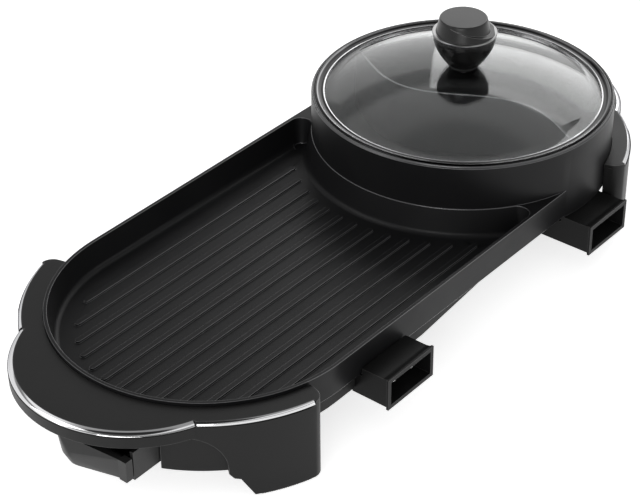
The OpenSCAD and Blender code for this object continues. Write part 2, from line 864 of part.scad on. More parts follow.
// One leg with its side lobe's wall: a shell that is open to the inside
module leg() {
    difference() {
        ring_sector(leg_in_r, handle_r - wall_step, 31, handle_end - 0.05, foot_t, plate_under + 0.5);
        arch_prism(0);
        difference() {
            ring_sector(leg_in_r - eps, handle_r - shell, 30, handle_end - end_wall_t / handle_r * 57.3,
                foot_t + shell, plate_under + 2);
            arch_prism(shell);
        }
    }
}

// Section of a bright trim: its outer face is rounded and stays just inside the handle's wall
module trim_section(r, w) {
    edge = r - 0.4;
    polygon(concat(
        [for (i = [0:4]) let (t = i / 4, b = 2 * t * (1 - t))
            [edge - w * (1 - t) + 0.8 * b, handle_z - trim_h * t + 0.8 * b]],
        [[edge - 1.4, handle_z - trim_h], [edge - w, handle_z - 1.6]]));
}

// The seat of a trim, with a shadow gap under the trim
module trim_seat(r, w) {
    edge = r - 0.4;
    c = 2 * fit_gap;
    low_z = handle_z - trim_h - trim_gap;
    polygon([[edge - w - c, handle_z + 3], [edge - w - c, handle_z - 1.6 - c],
        [edge - 1.4 - c, low_z], [r + 3, low_z], [r + 3, handle_z + 3]]);
}

module lobe_arc(half) {
    translate([-lobe_off, 0, 0])
        rotate([0, 0, 180 - half])
            rotate_extrude(angle = 2 * half)
                children();
}

module side_arc(a0, a1) {
    rotate([0, 0, 180 - a1])
        rotate_extrude(angle = a1 - a0)
            children();
}

side_trim_end = handle_end - 0.8 * corner_a;

module trim_middle() {
    lobe_arc(lobe_half_a) trim_section(lobe_r, trim_w);
}

module trim_side() {
    side_arc(notch_a + 0.4, side_trim_end) trim_section(handle_r, side_trim_w);
}

// Boss under the handle's top plate, above a lug of the pan
module handle_boss(wall_r) {
    for (a = lug_angles)
        translate(pol(wall_r + lug_out, a))
            translate([0, 0, lug_z + lug_t])
                cylinder(h = plate_under - lug_z - lug_t + 0.5, r = 4.6, $fn = 32);
}

// A whole handle with its two legs, its middle towards -X
module handle(wall_r) {
    difference() {
        union() {
            intersection() {
                translate([0, 0, plate_under])
                    linear_extrude(handle_z - plate_under)
                        union() {
                            circle(r = handle_r);
                            translate([-lobe_off, 0]) circle(r = lobe_r);
                        }
                linear_extrude(handle_z + eps)
                    polygon([[0, 0], pol(400, handle_end), pol(400, 35), pol(400, -35),
                        pol(400, -handle_end)]);
            }
            lobe_arc(lobe_half_a + 1.5)
                translate([lobe_r - shell, handle_z - skirt_h])
                    square([shell - wall_step, skirt_h - 1]);
            ring_sector(inner_skirt_r - shell, inner_skirt_r, -48, 48, inner_skirt_z, plate_under + 0.5);
            both_sides() {
                leg();
                ring_sector(wall_r, handle_r - 0.5, handle_end - 1.25, handle_end - 0.05,
                    end_wall_z, plate_under + 0.5);
                handle_boss(wall_r);
            }
        }
        translate([0, 0, -eps]) cylinder(h = handle_z + 2 * eps, r = wall_r + gap + 0.1);
        lobe_arc(lobe_half_a + 0.7) trim_seat(lobe_r, trim_w);
        both_sides() {
            side_arc(notch_a - 0.5, side_trim_end + 0.3) trim_seat(handle_r, side_trim_w);
            corner_cut();
            for (a = lug_angles)
                translate(pol(wall_r + lug_out, a))
                    translate([0, 0, lug_z]) cylinder(h = plate_under - lug_z - 0.5, r = pilot_r, $fn = 24);
        }
    }
}

module handle_screws(wall_r) {
    both_sides()
        for (a = lug_angles)
            translate(pol(wall_r + lug_out, a)) translate([0, 0, lug_z]) screw_up(10);
}

// Rubber pads under the two legs of a handle
module foot_pads() {
    both_sides()
        ring_sector(leg_in_r + 1, handle_r - 1, 55.5, handle_end - corner_a, 0, foot_t);
}

module front_handle() {
    color([0.13, 0.13, 0.13])
    at_tray()
        difference() {
            handle(pan_r);
            block(-reach, -(pan_r - 11), cup_y - notch_half_w, cup_y + notch_half_w, 0, notch_top_z);
        }
}

module rear_handle() {
    color([0.13, 0.13, 0.13])
    at_rear() handle(pot_r);
}

module front_trim_middle() {
    color([0.9, 0.9, 0.9]) at_tray() trim_middle();
}

module front_trim_near() {
    color([0.9, 0.9, 0.9]) at_tray() mirror([0, 1, 0]) trim_side();
}

module front_trim_far() {
    color([0.9, 0.9, 0.9]) at_tray() trim_side();
}

module rear_trim_middle() {
    color([0.9, 0.9, 0.9]) at_rear() trim_middle();
}

module rear_trim_near() {
    color([0.9, 0.9, 0.9]) at_rear() mirror([0, 1, 0]) trim_side();
}

module rear_trim_far() {
    color([0.9, 0.9, 0.9]) at_rear() trim_side();
}

module front_handle_screws() {
    color([0.75, 0.75, 0.77]) at_tray() handle_screws(pan_r);
}

module rear_handle_screws() {
    color([0.75, 0.75, 0.77]) at_rear() handle_screws(pot_r);
}

module front_foot_pads() {
    color([0.06, 0.06, 0.06]) at_tray() foot_pads();
}

module rear_foot_pads() {
    color([0.06, 0.06, 0.06]) at_rear() foot_pads();
}

// ---------- drip cup ----------

// Front of the cup: a scoop that hangs out below a straight top edge, deepest at its far end,
// and stops short of the runners
module cup_scoop() {
    foot_r = 13;
    belly_r = 16;
    foot_z = cup_z - 5;
    difference() {
        hull() {
            translate([cup_front_x + 1, cup_far_y - 5, cup_front_top - 1])
                cylinder(h = 1, r = 5, $fn = 32);
            translate([cup_front_x + 3.5, cup_near_y, cup_front_top - 1])
                cylinder(h = 1, r = 2, $fn = 24);
            translate([cup_front_x - cup_bulge + belly_r, cup_far_y - belly_r, cup_z + 3])
                cylinder(h = 5, r = belly_r, $fn = 64);
            translate([cup_front_x - cup_bulge + foot_r + 3, cup_far_y - belly_r - 2, foot_z])
                cylinder(h = 3, r = foot_r, $fn = 64);
            translate([cup_front_x + 7, cup_near_y + 4, cup_z - 1])
                cylinder(h = 3, r = 4, $fn = 24);
        }
        block(rail_front_x - 1, cup_back_x, cup_y - cup_w, cup_y + cup_w, 0, cup_z);
    }
}

// Shallow cup with a scoop-shaped front and an upright flange at its near end
module drip_cup() {
    color([0.15, 0.15, 0.15])
    at_tray()
        difference() {
            union() {
                block(cup_front_x + 4, cup_back_x, cup_y - cup_w / 2, cup_y + cup_w / 2,
                    cup_z, cup_top_z);
                cup_scoop();
                block(cup_front_x + 1, rail_front_x - 1, cup_y - rail_y - rail_t, cup_near_y + 1,
                    cup_z, cup_front_top + 0.5);
            }
            block(cup_front_x + 6 + cup_wall, cup_back_x - cup_wall,
                cup_y - cup_w / 2 + cup_wall, cup_y + cup_w / 2 - cup_wall,
                cup_z + cup_wall, cup_front_top + 5);
        }
}

// Two runners that carry the cup, screwed up under the pan
module cup_rails() {
    back_x = cup_back_x + 2;
    out_y = rail_y + rail_t;
    foot_z = under_z - gap - 3;
    color([0.13, 0.13, 0.13])
    at_tray()
        difference() {
            translate([0, cup_y, 0])
                both_sides() {
                    block(rail_front_x, back_x, rail_y, out_y, rail_z, under_z - gap);
                    block(rail_front_x, rail_front_x + rail_plate_l, rail_y, out_y,
                        rail_z, notch_top_z - gap);
                    block(rail_front_x + 6, back_x, cup_w / 2 - 4, rail_y + 1, rail_z, rail_z + 2);
                    block(rail_foot_x, back_x, rail_y + 1, out_y + rail_foot_w, foot_z, foot_z + 3);
                }
            rail_screw_places()
                translate([0, 0, foot_z - eps]) cylinder(h = 8, r = screw_hole_r, $fn = 24);
        }
}

module cup_rail_screws() {
    color([0.75, 0.75, 0.77])
    at_tray() rail_screw_places() translate([0, 0, under_z - gap - 3]) screw_up(5);
}

// ---------- lid ----------

// Section of the domed glass with its flat border
module glass_section() {
    rise = crown_z - glass_top;
    r_top = (dome_r * dome_r + rise * rise) / (2 * rise);
    half = asin(dome_r / r_top);
    r_low = r_top - glass_t;
    n = 16;
    polygon(concat(
        [[lid_hole_r, crown_z - glass_t - 0.02], [lid_hole_r, crown_z - 0.02]],
        [for (i = [1:n]) let (a = half * i / n) [r_top * sin(a), crown_z - r_top * (1 - cos(a))]],
        [[glass_r, glass_top], [glass_r, glass_low]],
        [for (i = [n:-1:1]) let (a = half * i / n)
            [r_low * sin(a), crown_z - glass_t - (r_low * (1 - cos(a)))
                - (i / n) * (glass_t - glass_t * cos(half)) ]]));
}

module lid_glass() {
    color([0.75, 0.8, 0.8, 0.4])
    at_pot() rotate_extrude($fn = 144) glass_section();
}

// Steel band folded round the glass's edge; it rests on the pot's ledge
module lid_rim_band() {
    z = glass_top + 0.05;
    color([0.85, 0.85, 0.86])
    at_pot()
        rotate_extrude($fn = 144)
            polygon([[band_r, seat_z + gap], [band_r, z + 1.5], [band_r - 0.6, z + 2.2],
                [band_r - 1.6, z + 2.5], [band_r - 2.8, z + 2.1], [band_r - 3.7, z + 1.3],
                [band_r - 5.4, z + 0.9], [band_r - 7.4, z + 1], [band_r - 8, z + 1.3],
                [band_r - 8.6, z + 1.1], [band_r - 8.7, z], [glass_r + 0.1, z],
                [glass_r + 0.1, glass_low - 0.05], [glass_r - 4, glass_low - 0.05],
                [glass_r - 4, glass_low - 0.65], [glass_r + 0.7, glass_low - 0.65],
                [glass_r + 0.9, seat_z + gap]]);
}

module knob_washers() {
    color([0.2, 0.2, 0.2])
    at_pot() {
        difference() {
            translate([0, 0, crown_z]) cylinder(h = 1.2, r = 13);
            translate([0, 0, crown_z - eps]) cylinder(h = 1.2 + 2 * eps, r = lid_hole_r, $fn = 48);
        }
        difference() {
            translate([0, 0, crown_z - glass_t - 1.4]) cylinder(h = 1.15, r = 9);
            translate([0, 0, crown_z - glass_t - 2]) cylinder(h = 3, r = lid_hole_r, $fn = 48);
        }
    }
}

module knob_screw() {
    color([0.75, 0.75, 0.77])
    at_pot()
        translate([0, 0, crown_z - glass_t - 1.4]) {
            translate([0, 0, -2.4])
                difference() {
                    cylinder(h = 2.4, r = 5, $fn = 48);
                    for (a = [0, 90])
                        rotate([0, 0, a]) block(-3, 3, -0.5, 0.5, -eps, 1.2);
                }
            cylinder(h = 18, r = 2.4, $fn = 48);
        }
}

// Bowl of the knob, narrow where it stands on the glass
module knob_body() {
    h = ring_z - knob_z;
    color([0.08, 0.08, 0.08])
    at_pot()
        difference() {
            rotate_extrude()
                polygon(concat([[0, knob_z], [knob_r * 0.46, knob_z]],
                    [for (i = [1:9]) let (t = i / 9)
                        [knob_r * (0.46 + 0.52 * pow(sin(90 * t), 0.85)), knob_z + h * t]],
                    [[0, ring_z]]));
            translate([0, 0, knob_z - eps]) cylinder(h = 14 + eps, r = 2.45, $fn = 48);
        }
}

module knob_ring() {
    color([0.85, 0.85, 0.86])
    at_pot()
        rotate_extrude()
            polygon([[knob_r - 6, ring_z], [knob_r - 0.4, ring_z], [knob_r, ring_z + 0.5],
                [knob_r, ring_z + ring_h - 0.5], [knob_r - 0.5, ring_z + ring_h],
                [knob_r - 6, ring_z + ring_h]]);
}

// Stepped cap: a leaning collar with a smaller round top set off to one side
module knob_cap() {
    h = knob_top - cap_z;
    top_r = 21;
    collar_r = knob_r - 2.2;
    lean = 15;
    color([0.2, 0.2, 0.2])
    at_pot()
        translate([0, 0, cap_z])
            rotate([0, 0, knob_turn]) {
                difference() {
                    translate([0.8, 0, 0]) cylinder(h = h, r1 = collar_r, r2 = collar_r - 4);
                    translate([0, 0, h * 0.52])
                        rotate([0, lean, 0])
                            translate([-60, -60, 0]) cube([120, 120, 40]);
                }
                translate([-1.4, 0, 0]) cylinder(h = h - 0.8, r1 = top_r + 3, r2 = top_r);
                translate([-1.4, 0, h - 0.8]) cylinder(h = 0.8, r1 = top_r, r2 = top_r - 0.8);
            }
}

knob_turn = -50;

cast_pan();
pot_divider();
grill_heater();
pot_heater();
grill_heater_clips();
pot_heater_clips();
grill_cover();
pot_cover();
grill_cover_screws();
pot_cover_screws();
grill_socket_shroud();
pot_socket_shroud();
grill_terminal_pins();
pot_terminal_pins();
grill_pin_insulators();
pot_pin_insulators();
grill_probe_sleeve();
pot_probe_sleeve();
grill_socket_screws();
pot_socket_screws();
front_handle();
rear_handle();
front_trim_middle();
front_trim_near();
front_trim_far();
rear_trim_middle();
rear_trim_near();
rear_trim_far();
front_handle_screws();
rear_handle_screws();
front_foot_pads();
rear_foot_pads();
drip_cup();
cup_rails();
cup_rail_screws();
lid_glass();
lid_rim_band();
knob_washers();
knob_screw();
knob_body();
knob_ring();
knob_cap();
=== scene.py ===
# %% [markdown]
# An electric hot pot joined to a grill tray, dressed for its portrait in Blender.
#
# The solid model already exists: a CAD program made every piece at its true size and packed
# them into one file. Here that file is loaded as a fixed frame. We never move or resize its
# pieces. What Blender adds is the look: rounded edges that catch the light, coatings, moulded
# grain, polished steel, glass, and small details that only the eye needs.

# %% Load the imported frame
import json
import math
import bpy
import bmesh
from mathutils import Matrix, Vector


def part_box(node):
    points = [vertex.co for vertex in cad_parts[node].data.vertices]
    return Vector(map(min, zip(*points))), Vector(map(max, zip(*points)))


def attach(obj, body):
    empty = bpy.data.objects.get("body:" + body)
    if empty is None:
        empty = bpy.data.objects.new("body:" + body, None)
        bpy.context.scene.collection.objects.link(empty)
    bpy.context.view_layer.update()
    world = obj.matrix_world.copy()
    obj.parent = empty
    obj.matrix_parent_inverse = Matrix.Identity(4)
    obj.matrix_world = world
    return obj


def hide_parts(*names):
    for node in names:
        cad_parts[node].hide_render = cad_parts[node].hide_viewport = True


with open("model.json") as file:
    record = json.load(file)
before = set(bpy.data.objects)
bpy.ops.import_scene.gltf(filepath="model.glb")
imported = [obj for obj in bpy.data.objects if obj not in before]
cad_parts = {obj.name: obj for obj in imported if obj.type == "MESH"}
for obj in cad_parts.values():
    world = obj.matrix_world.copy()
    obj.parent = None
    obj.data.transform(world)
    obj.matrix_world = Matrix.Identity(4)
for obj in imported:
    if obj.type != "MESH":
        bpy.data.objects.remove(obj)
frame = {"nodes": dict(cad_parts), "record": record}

scene = bpy.context.scene
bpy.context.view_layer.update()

# %% [markdown]
# ## The places that the rest of the lesson needs
#
# The long axis of the cooker runs along X. Two round centres lie on it: the tray's round end
# and the pot. Nearly every curve turns about one of them, so we keep both points by name.

# %% Centres, in metres
pot_low, pot_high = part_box("pot_cover")
POT_X = (pot_low.x + pot_high.x) / 2
AXIS_Y = (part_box("knob_body")[0].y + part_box("knob_body")[1].y) / 2
TRAY_X = -POT_X
print("pot axis at", round(POT_X, 4), round(AXIS_Y, 4))

# %% [markdown]
# ## The camera
#
# The camera stands to the left of the grill's end and looks down by about 34 degrees,
# with a long lens, so parallel edges stay nearly parallel. The camera is built from the angle
# it turns to the left, the angle it looks down and a half degree of roll. Three unit vectors
# say where the camera's right, up and back point, and they become the columns of its matrix.

# %% Build the camera
CAMERA_TURN_DOWN_ROLL = (-50.425, 34.219, -0.53)
CAMERA_AT = (-1.0530, AXIS_Y - 0.8435, 0.9511)
LENS_MM, SENSOR_MM = 107.6, 36
turn, down, roll = map(math.radians, CAMERA_TURN_DOWN_ROLL)
right = Vector((math.cos(turn), math.sin(turn), 0))
back = Vector((math.sin(turn) * math.cos(down), -math.cos(turn) * math.cos(down), math.sin(down)))
up = back.cross(right)
tilted_right = right * math.cos(roll) + up * math.sin(roll)
tilted_up = up * math.cos(roll) - right * math.sin(roll)
camera = bpy.data.objects.new("portrait_camera", bpy.data.cameras.new("portrait_lens"))
scene.collection.objects.link(camera)
camera.data.lens = LENS_MM
camera.data.sensor_width = SENSOR_MM
camera.data.clip_start, camera.data.clip_end = 0.05, 60
columns = Matrix((tilted_right, tilted_up, back)).transposed()
camera.matrix_world = Matrix.Translation(CAMERA_AT) @ columns.to_4x4()
scene.camera = camera
print("lens", camera.data.lens, "mm")

# %% [markdown]
# ## White surroundings
#
# The cooker stands on pure white. If we simply lit a white floor until it burned out, the black
# parts would turn grey. So the backdrop is white only for rays that come from the camera or
# through glass. For plain light the sky is a moderate grey dome. For reflections it is a studio:
# a white wall up to about 30 degrees, a dark gap above it, and a white ceiling. Black plastic
# mirrors the gap and stays black, and chrome and glass show all three. A round dark patch high
# up, such as a studio's own equipment makes, breaks the white in the trims. The floor also has
# to keep the object's soft shadow: it mixes a plain white glow with an ordinary matte white
# surface, which is darker where the object shades it.

# %% A small helper for node trees
def node(tree, kind, at=(0, 0), **values):
    """Adds a node and sets its properties, and its inputs by name or number."""
    made = tree.nodes.new(kind)
    made.location = at
    for key, value in values.get("props", {}).items():
        setattr(made, key, value)
    for key, value in values.get("inputs", {}).items():
        made.inputs[key].default_value = value
    return made


def rays_of(tree, *kinds):
    """1 for the given kinds of ray, and 0 for the rest."""
    path = node(tree, "ShaderNodeLightPath", (-900, 300))
    answer = path.outputs[kinds[0]]
    for kind in kinds[1:]:
        either = node(tree, "ShaderNodeMath", (-600, 300), props={"operation": "MAXIMUM"})
        tree.links.new(answer, either.inputs[0])
        tree.links.new(path.outputs[kind], either.inputs[1])
        answer = either.outputs[0]
    return answer


# %% The sky
world = bpy.data.worlds.new("white_studio")
scene.world = world
world.use_nodes = True
sky = world.node_tree
sky.nodes.clear()
SKY_FILL = 0.42
STUDIO_BANDS = ((0.0, 0.95), (0.48, 0.90), (0.54, 0.22), (0.62, 0.20), (0.69, 0.95), (0.84, 0.9),
                (0.92, 0.35), (1.0, 0.3))
DARK_PATCH = (-0.38, -0.14, 0.914)
PATCH_OUTSIDE, PATCH_INSIDE, PATCH_LEVEL = 0.87, 0.94, 0.06
direction = node(sky, "ShaderNodeTexCoord", (-1000, -300))
height = node(sky, "ShaderNodeSeparateXYZ", (-800, -300))
bands = node(sky, "ShaderNodeValToRGB", (-600, -300))
for k, (place, level) in enumerate(STUDIO_BANDS):
    stop = bands.color_ramp.elements[k] if k < 2 else bands.color_ramp.elements.new(place)
    stop.position = place
    stop.color = (level, level, level, 1)
bands.color_ramp.interpolation = "EASE"
nearness = node(sky, "ShaderNodeVectorMath", (-800, -500), props={"operation": "DOT_PRODUCT"})
nearness.inputs[1].default_value = DARK_PATCH
patch = node(sky, "ShaderNodeMapRange", (-600, -600), props={"interpolation_type": "SMOOTHSTEP"},
             inputs={"From Min": PATCH_OUTSIDE, "From Max": PATCH_INSIDE,
                     "To Min": 1.0, "To Max": PATCH_LEVEL})
plain = node(sky, "ShaderNodeBackground", (-200, 100),
             inputs={"Color": (1, 1, 1, 1), "Strength": 1})
studio = node(sky, "ShaderNodeBackground", (-200, -100))
dome = node(sky, "ShaderNodeBackground", (-200, -300),
            inputs={"Color": (1, 1, 1, 1), "Strength": SKY_FILL})
mirrored = node(sky, "ShaderNodeMixShader", (0, -100))
choose = node(sky, "ShaderNodeMixShader", (200, 0))
out = node(sky, "ShaderNodeOutputWorld", (400, 0))
sky.links.new(direction.outputs["Generated"], height.inputs[0])
sky.links.new(height.outputs["Z"], bands.inputs[0])
sky.links.new(bands.outputs[0], studio.inputs["Color"])
sky.links.new(direction.outputs["Generated"], nearness.inputs[0])
sky.links.new(nearness.outputs["Value"], patch.inputs["Value"])
sky.links.new(patch.outputs[0], studio.inputs["Strength"])
sky.links.new(rays_of(sky, "Is Glossy Ray"), mirrored.inputs[0])
sky.links.new(dome.outputs[0], mirrored.inputs[1])
sky.links.new(studio.outputs[0], mirrored.inputs[2])
sky.links.new(rays_of(sky, "Is Camera Ray", "Is Transmission Ray"), choose.inputs[0])
sky.links.new(mirrored.outputs[0], choose.inputs[1])
sky.links.new(plain.outputs[0], choose.inputs[2])
sky.links.new(choose.outputs[0], out.inputs[0])
print("sky fill", SKY_FILL)

# %% The floor
FLOOR_REACH, FLOOR_DROP = 8, 0.0005
PAPER_WHITE, PAPER_GLOW = 0.9, 0.72
corners = [(x * FLOOR_REACH, y * FLOOR_REACH, 0) for x, y in ((-1, -1), (1, -1), (1, 1), (-1, 1))]
floor_mesh = bpy.data.meshes.new("white_floor")
floor_mesh.from_pydata(corners, [], [(0, 1, 2, 3)])
floor = bpy.data.objects.new("white_floor", floor_mesh)
scene.collection.objects.link(floor)
floor.location.z = -FLOOR_DROP
paper = bpy.data.materials.new("white_paper")
paper.use_nodes = True
tree = paper.node_tree
tree.nodes.clear()
matte = node(tree, "ShaderNodeBsdfDiffuse", (-200, 100),
             inputs={"Color": (PAPER_WHITE, PAPER_WHITE, PAPER_WHITE, 1)})
glow = node(tree, "ShaderNodeEmission", (-200, -100), inputs={"Strength": PAPER_GLOW})
both = node(tree, "ShaderNodeAddShader", (0, 0))
only = node(tree, "ShaderNodeMixShader", (200, 0))
out = node(tree, "ShaderNodeOutputMaterial", (400, 0))
seen = rays_of(tree, "Is Camera Ray", "Is Glossy Ray", "Is Transmission Ray")
tree.links.new(seen, only.inputs[0])
tree.links.new(matte.outputs[0], both.inputs[0])
tree.links.new(glow.outputs[0], both.inputs[1])
tree.links.new(matte.outputs[0], only.inputs[1])
tree.links.new(both.outputs[0], only.inputs[2])
tree.links.new(only.outputs[0], out.inputs[0])
floor_mesh.materials.append(paper)

# %% [markdown]
# ## The lamps
#
# A wide soft lamp beyond the pot gives the soft patch on the lid's glass and lifts the rear
# handle. A second one stands high at the far left, where the bright trim of the front handle
# mirrors it. A third, low at the left, models the legs and the pot's wall. The last one is
# weak and keeps the near side from going flat.

# %% Soft boxes
def soft_box(name, at, aim, size, watts):
    lamp = bpy.data.lights.new(name, "AREA")
    lamp.shape = "RECTANGLE"
    lamp.size, lamp.size_y = size
    lamp.energy = watts
    made = bpy.data.objects.new(name, lamp)
    scene.collection.objects.link(made)
    made.location = at
    made.rotation_euler = (Vector(aim) - Vector(at)).to_track_quat("-Z", "Y").to_euler()
    return made


soft_box("far_box", (2.3, 0.8, 1.3), (0.1, 0, 0.1), (1.8, 1.8), 16)
soft_box("left_far_box", (-1.7, 1.2, 1.6), (-0.2, 0, 0.05), (1.4, 1.4), 12)
soft_box("left_low_box", (-2.2, -0.9, 0.9), (-0.1, 0, 0.05), (1.3, 0.9), 16)
soft_box("near_strip", (0.9, -2.1, 0.9), (0.05, -0.1, 0.05), (1.8, 0.8), 3)

# %% [markdown]
# ## Shader groups that several finishes share
#
# Moulded plastic, cast coating and enamel all carry a fine, even grain, and all carry a much
# larger, softer unevenness where light plays over them. Each of these is built once as a group
# with named inputs. A group only puts out numbers that change over the surface. The shader
# itself stays in each material.

# %% Group: fine grain
def group(name, inputs, outputs):
    made = bpy.data.node_groups.new(name, "ShaderNodeTree")
    for label, kind, value in inputs:
        socket = made.interface.new_socket(label, in_out="INPUT", socket_type=kind)
        if value is not None:
            socket.default_value = value
    for label in outputs:
        made.interface.new_socket(label, in_out="OUTPUT", socket_type="NodeSocketFloat")
    return made, node(made, "NodeGroupInput", (-600, 0)), node(made, "NodeGroupOutput", (600, 0))


grain_group, given, result = group(
    "fine_grain",
    [("Vector", "NodeSocketVector", None), ("Scale", "NodeSocketFloat", 900.0),
     ("Roundness", "NodeSocketFloat", 0.5)],
    ["Height", "Speck"],
)
pebbles = node(grain_group, "ShaderNodeTexVoronoi", (-300, 150), props={"feature": "F1"})
haze = node(grain_group, "ShaderNodeTexNoise", (-300, -150),
            inputs={"Detail": 3.0, "Roughness": 0.6})
mixed = node(grain_group, "ShaderNodeMix", (100, 100), props={"data_type": "FLOAT"})
speck = node(grain_group, "ShaderNodeMapRange", (100, -150), inputs={1: 0.62, 2: 0.78})
for texture in (pebbles, haze):
    grain_group.links.new(given.outputs["Vector"], texture.inputs["Vector"])
    grain_group.links.new(given.outputs["Scale"], texture.inputs["Scale"])
grain_group.links.new(given.outputs["Roundness"], mixed.inputs[0])
grain_group.links.new(haze.outputs[0], mixed.inputs[2])
grain_group.links.new(pebbles.outputs["Distance"], mixed.inputs[3])
grain_group.links.new(mixed.outputs[0], result.inputs["Height"])
grain_group.links.new(haze.outputs[0], speck.inputs[0])
grain_group.links.new(speck.outputs[0], result.inputs["Speck"])
print("group", grain_group.name)

# %% Group: soft unevenness
cloud_group, given, result = group(
    "soft_unevenness",
    [("Vector", "NodeSocketVector", None), ("Scale", "NodeSocketFloat", 14.0),
     ("Low", "NodeSocketFloat", 0.3), ("High", "NodeSocketFloat", 0.5)],
    ["Value"],
)
cloud = node(cloud_group, "ShaderNodeTexNoise", (-300, 0),
             inputs={"Detail": 4.0, "Roughness": 0.55})
spread = node(cloud_group, "ShaderNodeMapRange", (0, 0), inputs={1: 0.3, 2: 0.7})
cloud_group.links.new(given.outputs["Vector"], cloud.inputs["Vector"])
cloud_group.links.new(given.outputs["Scale"], cloud.inputs["Scale"])
cloud_group.links.new(cloud.outputs[0], spread.inputs[0])
cloud_group.links.new(given.outputs["Low"], spread.inputs[3])
cloud_group.links.new(given.outputs["High"], spread.inputs[4])
cloud_group.links.new(spread.outputs[0], result.inputs["Value"])

# %% Group: fine lines around a centre, as on spun or turned metal
turned_group, given, result = group(
    "turned_lines",
    [("Vector", "NodeSocketVector", None), ("Centre X", "NodeSocketFloat", 0.0),
     ("Centre Y", "NodeSocketFloat", 0.0), ("Scale", "NodeSocketFloat", 2500.0)],
    ["Height", "Radius"],
)
centre = node(turned_group, "ShaderNodeCombineXYZ", (-400, -150))
offset = node(turned_group, "ShaderNodeVectorMath", (-200, 0), props={"operation": "SUBTRACT"})
flat = node(turned_group, "ShaderNodeVectorMath", (0, 0), props={"operation": "MULTIPLY"})
flat.inputs[1].default_value = (1, 1, 0)
radius = node(turned_group, "ShaderNodeVectorMath", (200, 0), props={"operation": "LENGTH"})
lines = node(turned_group, "ShaderNodeTexNoise", (400, 0), props={"noise_dimensions": "1D"},
             inputs={"Detail": 2.0})
turned_group.links.new(given.outputs["Centre X"], centre.inputs[0])
turned_group.links.new(given.outputs["Centre Y"], centre.inputs[1])
turned_group.links.new(given.outputs["Vector"], offset.inputs[0])
turned_group.links.new(centre.outputs[0], offset.inputs[1])
turned_group.links.new(offset.outputs[0], flat.inputs[0])
turned_group.links.new(flat.outputs[0], radius.inputs[0])
turned_group.links.new(radius.outputs["Value"], lines.inputs["W"])
turned_group.links.new(given.outputs["Scale"], lines.inputs["Scale"])
turned_group.links.new(lines.outputs[0], result.inputs["Height"])
turned_group.links.new(radius.outputs["Value"], result.inputs["Radius"])
print("groups", [g.name for g in bpy.data.node_groups if g.type == "SHADER"])

# %% [markdown]
# ## A pattern for a finish
#
# Every black finish here follows one recipe: a base colour that drifts a little between two
# close tones, a roughness that drifts between two values, and a fine grain that drives a small
# bump. What differs is how deep, how fine and how shiny, so one function builds the tree from
# those numbers. Numbers that are the same all over, such as the metal weight or how strongly
# the surface mirrors, go straight on the shader.

# %% The recipe
def drifting_finish(name, tones, rough, grain, bump, cloud=14.0, speckle=0.0, shine=0.25,
                    metal=0.0, coat=0.0, coat_rough=0.1):
    """A finish from two tones, two roughnesses, a grain scale and a bump height in metres."""
    material = bpy.data.materials.new(name)
    material.use_nodes = True
    tree = material.node_tree
    shader = tree.nodes["Principled BSDF"]
    shader.inputs["Metallic"].default_value = metal
    shader.inputs["Specular IOR Level"].default_value = shine
    shader.inputs["Coat Weight"].default_value = coat
    shader.inputs["Coat Roughness"].default_value = coat_rough
    place = node(tree, "ShaderNodeTexCoord", (-1100, 0))
    fine = node(tree, "ShaderNodeGroup", (-800, -200), props={"node_tree": grain_group},
                inputs={"Scale": grain, "Roundness": 0.5})
    rough_cloud = node(tree, "ShaderNodeGroup", (-800, 0), props={"node_tree": cloud_group},
                       inputs={"Scale": cloud, "Low": rough[0], "High": rough[1]})
    tone_cloud = node(tree, "ShaderNodeGroup", (-800, 250), props={"node_tree": cloud_group},
                      inputs={"Scale": cloud * 0.6, "Low": 0.0, "High": 1.0})
    tone = node(tree, "ShaderNodeMix", (-500, 250), props={"data_type": "RGBA"})
    tone.inputs[6].default_value = (*tones[0], 1)
    tone.inputs[7].default_value = (*tones[1], 1)
    specks = node(tree, "ShaderNodeMix", (-250, 250), props={"data_type": "RGBA"})
    strength = node(tree, "ShaderNodeMath", (-500, 50), props={"operation": "MULTIPLY"})
    strength.inputs[1].default_value = speckle
    specks.inputs[7].default_value = (*[min(1, 6 * c + 0.02) for c in tones[1]], 1)
    bumps = node(tree, "ShaderNodeBump", (-300, -250), inputs={"Strength": 0.5, "Distance": bump})
    for user in (fine, rough_cloud, tone_cloud):
        tree.links.new(place.outputs["Object"], user.inputs["Vector"])
    tree.links.new(tone_cloud.outputs[0], tone.inputs[0])
    tree.links.new(fine.outputs["Speck"], strength.inputs[0])
    tree.links.new(strength.outputs[0], specks.inputs[0])
    tree.links.new(tone.outputs[2], specks.inputs[6])
    tree.links.new(specks.outputs[2], shader.inputs["Base Color"])
    tree.links.new(rough_cloud.outputs[0], shader.inputs["Roughness"])
    tree.links.new(fine.outputs["Height"], bumps.inputs["Height"])
    tree.links.new(bumps.outputs[0], shader.inputs["Normal"])
    return material


# %% [markdown]
# ## The black finishes
#
# The tray and the pot are cast and sprayed with a dark non-stick coating, which has a fine
# sparkle and a soft gleam. The handles, sockets and cup are moulded plastic with a finer
# grain. The covers underneath are matte enamel. Edges get a smoother finish of their own, and a
# paler colour that is a painted highlight along the rounded edges.

# %% Coated castings
finishes = {}
finishes["pan_coating"] = drifting_finish(
    "pan_coating", ((0.006, 0.006, 0.0065), (0.009, 0.009, 0.0095)), (0.34, 0.46), 1400, 0.000008,
    speckle=0.06, shine=0.16)
# The divider has the pan's coating, painted about five times paler: the paler tone is painted
# light.
finishes["divider_coating"] = drifting_finish(
    "divider_coating", ((0.030, 0.030, 0.031), (0.042, 0.042, 0.044)), (0.30, 0.4), 1400, 0.00002,
    speckle=0.06, shine=0.4)
finishes["cover_enamel"] = drifting_finish(
    "cover_enamel", ((0.010, 0.010, 0.010), (0.016, 0.016, 0.016)), (0.5, 0.65), 700, 0.00008)

